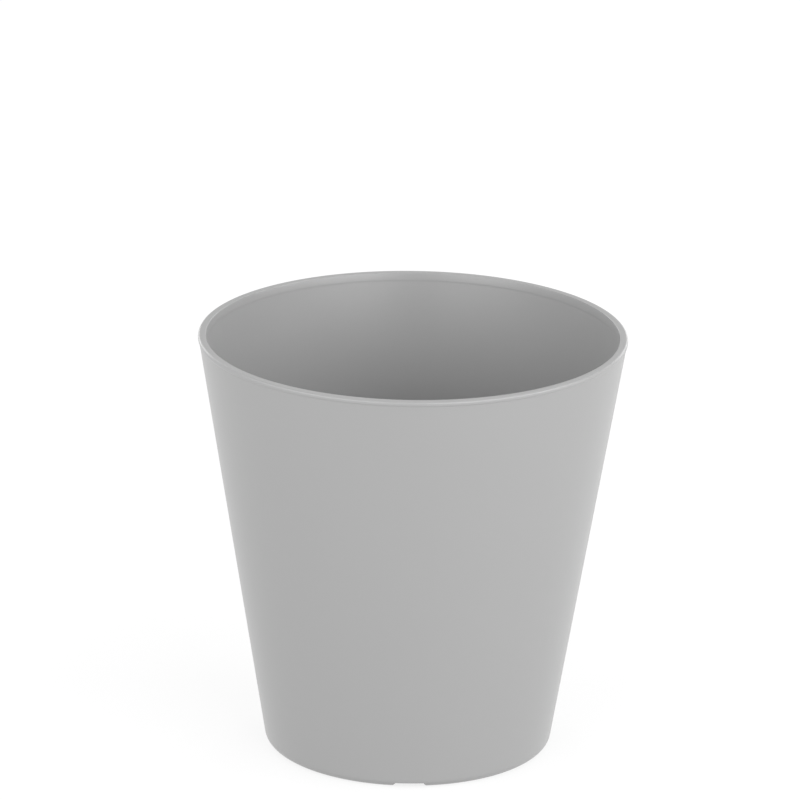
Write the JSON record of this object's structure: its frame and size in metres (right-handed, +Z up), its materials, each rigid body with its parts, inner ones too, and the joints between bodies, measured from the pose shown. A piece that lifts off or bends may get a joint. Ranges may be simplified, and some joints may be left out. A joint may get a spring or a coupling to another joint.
{
  "type": "self-watering planter",
  "caption": "Tapered round plastic planter with a lift-out water system: perforated separator, wick baskets, fill tube with flip cap, float level gauge and overflow with drain plug.",
  "frame": {"origin": "centre of the face that the pot stands on", "axes": "+Z up, towards the rim; -Y to the front, where the fill tube and the level gauge stand; +X to the right seen from the front, on the fill tube's side"},
  "size_m": [0.2, 0.2, 0.2],
  "materials": {
    "pot_plastic": "semi-gloss moulded polypropylene, smooth",
    "system_plastic": "satin moulded polypropylene, dark grey",
    "seal_rubber": "soft matt rubber",
    "wick_felt": "needled polyester felt",
    "clear_plastic": "clear moulded plastic",
    "float_plastic": "smooth white plastic",
    "marker_plastic": "glossy red plastic",
    "pin_steel": "drawn stainless wire"
  },
  "bodies": {
    "pot": {"outer_pot": "pot_plastic", "overflow_pipe": "system_plastic", "overflow_grommet": "seal_rubber"},
    "plug": {"drain_plug": "seal_rubber"},
    "insert": {"separator_plate": "system_plastic", "support_leg_1": "system_plastic", "support_leg_2": "system_plastic", "support_leg_3": "system_plastic", "support_leg_4": "system_plastic", "wick_basket_1": "system_plastic", "wick_basket_2": "system_plastic", "wick_basket_3": "system_plastic", "wick_strip_1": "wick_felt", "wick_strip_2": "wick_felt", "wick_strip_3": "wick_felt", "fill_tube": "system_plastic", "cap_pin": "pin_steel", "gauge_tube": "system_plastic", "gauge_window": "clear_plastic", "float_cage": "system_plastic", "cage_base": "system_plastic", "tube_clip": "system_plastic"},
    "cap": {"fill_cap": "system_plastic"},
    "float_unit": {"float": "float_plastic", "float_rod": "float_plastic", "level_marker": "marker_plastic"}
  },
  "joints": [
    {"name": "insert_lift", "type": "slide", "parent": "pot", "child": "insert", "axis": [0, 0, 1], "range_m": [0, 0.21]},
    {"name": "plug_pull", "type": "slide", "parent": "pot", "child": "plug", "axis": [0, 0, 1], "range_m": [0, 0.009]},
    {"name": "cap_hinge", "type": "hinge", "parent": "insert", "child": "cap", "pos_m": [0.018, -0.0672, 0.167], "axis": [1, 0, 0], "range_deg": [0, 110]},
    {"name": "float_rise", "type": "slide", "parent": "insert", "child": "float_unit", "axis": [0, 0, 1], "range_m": [0, 0.025]}
  ]
}
